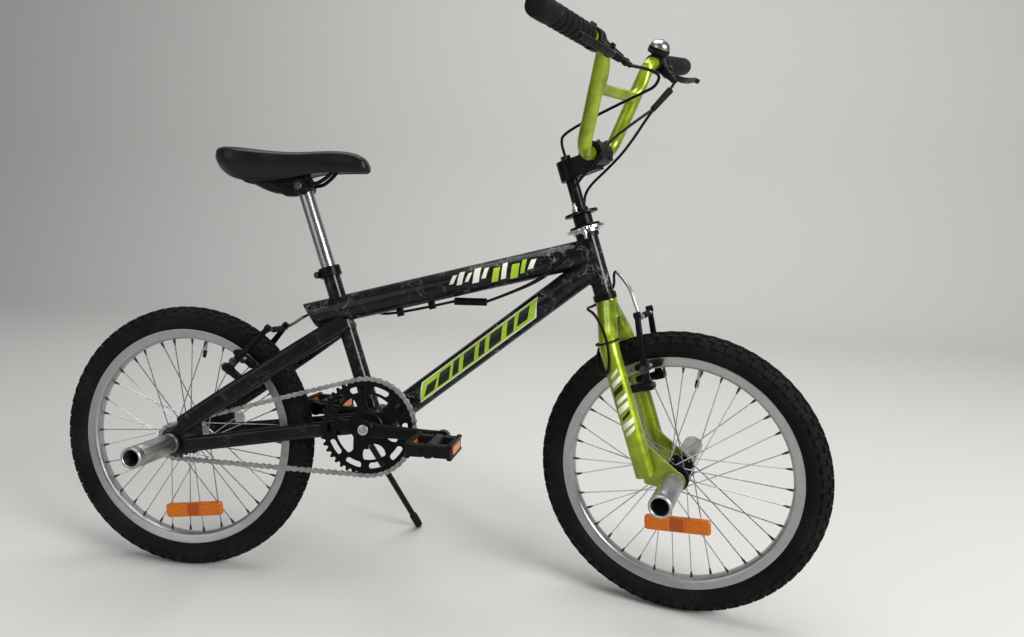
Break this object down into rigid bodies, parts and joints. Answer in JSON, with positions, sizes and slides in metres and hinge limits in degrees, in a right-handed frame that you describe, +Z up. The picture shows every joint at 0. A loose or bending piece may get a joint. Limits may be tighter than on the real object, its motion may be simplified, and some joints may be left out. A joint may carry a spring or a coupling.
{
  "type": "bmx bicycle",
  "caption": "Freestyle bicycle with foot pegs, rim brakes, a brake-cable rotor and a chain drive, parked leaning on its side stand.",
  "frame": {"origin": "the ground under the middle of the parked bicycle's box", "axes": "+X towards the front wheel, +Y to the rider's left where the stand is, +Z up"},
  "size_m": [1.4387, 0.5934, 1.01],
  "materials": {
    "frame_paint": "gloss black paint with a fine grey crackle pattern",
    "lime_paint": "metallic lime paint",
    "black_metal": "satin black paint",
    "chrome": "chrome plate",
    "steel": "bare steel",
    "rim_silver": "satin silver",
    "peg_metal": "dull grey metal",
    "tyre": "knobbly black rubber",
    "grip_rubber": "matt black ribbed rubber",
    "saddle_vinyl": "black vinyl over foam",
    "black_plastic": "matt black plastic",
    "amber": "amber reflector",
    "cable": "black cable sleeve",
    "bell_silver": "silver dome"
  },
  "bodies": {
    "frame": {"head_tube": "frame_paint", "top_tube": "frame_paint", "down_tube": "frame_paint", "seat_tube": "frame_paint", "bottom_bracket": "frame_paint", "chain_stays": "frame_paint", "seat_stays": "frame_paint", "rear_dropouts": "frame_paint", "seat_clamp": "black_metal", "seat_post": "chrome", "saddle_rails": "black_metal", "saddle": "saddle_vinyl", "headset_cups": "black_metal", "rotor_lower_plate": "chrome", "rear_axle": "steel", "rear_pegs": "peg_metal", "chain": "steel", "rear_brake_arms": "black_metal", "rear_brake_noodle": "steel", "rear_cable": "cable", "lower_rotor_cables": "cable", "cable_fittings": "black_plastic", "stand_bracket": "black_metal"},
    "rear_wheel": {"rear_tyre": "tyre", "rear_rim": "rim_silver", "rear_spokes": "steel", "rear_hub": "steel", "rear_reflector": "amber"},
    "front_wheel": {"front_tyre": "tyre", "front_rim": "rim_silver", "front_spokes": "steel", "front_hub": "black_metal", "front_reflector": "amber"},
    "steer": {"front_axle": "steel", "front_pegs": "peg_metal", "fork_crown": "lime_paint", "fork_legs": "lime_paint", "rotor_upper_plate": "black_metal", "stem": "black_metal", "stem_cap": "black_metal", "handlebar": "lime_paint", "grips": "grip_rubber", "brake_levers": "black_metal", "bell_base": "black_plastic", "bell_dome": "bell_silver", "front_brake_arms": "black_metal", "front_brake_noodle": "steel", "front_cable": "cable", "upper_rotor_cables": "cable"},
    "crank": {"chainring": "black_metal", "crank": "black_metal"},
    "sprocket": {"rear_sprocket": "steel"},
    "pedal_right": {"pedal_right": "black_plastic", "pedal_right_reflectors": "amber"},
    "pedal_left": {"pedal_left": "black_plastic", "pedal_left_reflectors": "amber"},
    "stand": {"stand_leg": "black_metal", "stand_foot": "black_plastic"}
  },
  "joints": [
    {"name": "steering", "type": "hinge", "parent": "frame", "child": "steer", "pos_m": [0.30911, 0.01235, 0.61546], "axis": [-0.3149, 0.1364, 0.9393], "range_deg": [-64.8, 95.2]},
    {"name": "front_wheel_spin", "type": "hinge", "parent": "steer", "child": "front_wheel", "pos_m": [0.47263, -0.05104, 0.25363], "axis": [0.2488, 0.9669, -0.0569], "continuous": true},
    {"name": "rear_wheel_spin", "type": "hinge", "parent": "frame", "child": "rear_wheel", "pos_m": [-0.46541, -0.04047, 0.25162], "axis": [0, 0.9896, -0.1437], "continuous": true},
    {"name": "crank_turn", "type": "hinge", "parent": "frame", "child": "crank", "pos_m": [-0.08886, -0.03294, 0.30344], "axis": [0, 0.9896, -0.1437], "range_deg": [-40, 246]},
    {"name": "sprocket_turn", "type": "hinge", "parent": "frame", "child": "sprocket", "pos_m": [-0.46541, -0.04047, 0.25162], "axis": [0, 0.9896, -0.1437], "range_deg": [-110, 676.5]},
    {"name": "pedal_right_spin", "type": "hinge", "parent": "crank", "child": "pedal_right", "pos_m": [0.05606, -0.1623, 0.31725], "axis": [0, 0.9896, -0.1437], "continuous": true},
    {"name": "pedal_left_spin", "type": "hinge", "parent": "crank", "child": "pedal_left", "pos_m": [-0.23378, 0.09642, 0.28963], "axis": [0, 0.9896, -0.1437], "continuous": true},
    {"name": "stand_fold", "type": "hinge", "parent": "frame", "child": "stand", "pos_m": [-0.12097, -0.00183, 0.2601], "axis": [-0.0573, 0.8765, 0.4779], "range_deg": [0, 93]}
  ],
  "couplings": [
    {"joint": "sprocket_turn", "follows": "crank_turn", "ratio": 2.75}
  ]
}
